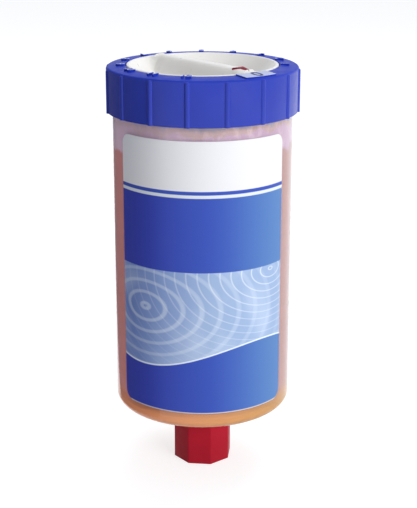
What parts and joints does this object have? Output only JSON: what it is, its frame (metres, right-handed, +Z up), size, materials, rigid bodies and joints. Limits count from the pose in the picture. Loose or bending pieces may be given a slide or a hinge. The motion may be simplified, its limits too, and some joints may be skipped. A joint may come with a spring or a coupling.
{
  "type": "automatic lubricator",
  "caption": "Gas-driven single-point lubricator: clear cartridge with follower piston, ribbed top ring, time-setting dial and screw-on closure over a threaded outlet.",
  "frame": {"origin": "centre of the closure's bottom face, on which the lubricator stands", "axes": "+Z up along the cartridge's axis, -Y towards the labelled front"},
  "size_m": [0.054, 0.054, 0.1191],
  "materials": {
    "clear_plastic": "clear, slightly frosted inside",
    "lubricant": "amber, wet",
    "label_paper": "satin print, white header and blue field",
    "closure_red": "satin",
    "seal_rubber": "matt",
    "ring_blue": "satin moulded",
    "dial_white": "satin moulded",
    "pointer_red": "satin",
    "contact_brass": "bright",
    "housing_grey": "matt moulded",
    "membrane_white": "matt",
    "cell_steel": "bright",
    "board_green": "satin",
    "resistor_dark": "matt",
    "screw_steel": "plain",
    "piston_plastic": "matt moulded"
  },
  "bodies": {
    "cartridge": {"container": "clear_plastic", "lubricant_fill": "lubricant", "front_label": "label_paper", "top_ring": "ring_blue", "generator_housing": "housing_grey", "housing_seal": "seal_rubber", "vent_membrane": "membrane_white", "gas_cell_left": "cell_steel", "gas_cell_right": "cell_steel", "cell_cradle": "housing_grey", "cell_bridge": "contact_brass", "cell_contact_left": "contact_brass", "cell_contact_right": "contact_brass", "circuit_board": "board_green", "setting_pads": "contact_brass", "time_resistors": "resistor_dark", "board_screws": "screw_steel"},
    "dial": {"time_dial": "dial_white", "dial_arrow": "pointer_red", "dial_seal": "seal_rubber", "contact_wiper": "contact_brass"},
    "follower": {"piston": "piston_plastic", "piston_seal_lower": "seal_rubber", "piston_seal_upper": "seal_rubber"},
    "closure": {"closure_cap": "closure_red", "cap_gasket": "seal_rubber"}
  },
  "joints": [
    {"name": "dial_turn", "type": "hinge", "parent": "cartridge", "child": "dial", "pos_m": [0, 0, 0.1148], "axis": [0, 0, 1], "range_deg": [0, 309]},
    {"name": "piston_travel", "type": "slide", "parent": "cartridge", "child": "follower", "axis": [0, 0, -1], "range_m": [0, 0.072], "deforming": ["lubricant_fill"]},
    {"name": "closure_pull", "type": "slide", "parent": "cartridge", "child": "closure", "axis": [0, 0, -1], "range_m": [0, 0.022]}
  ]
}
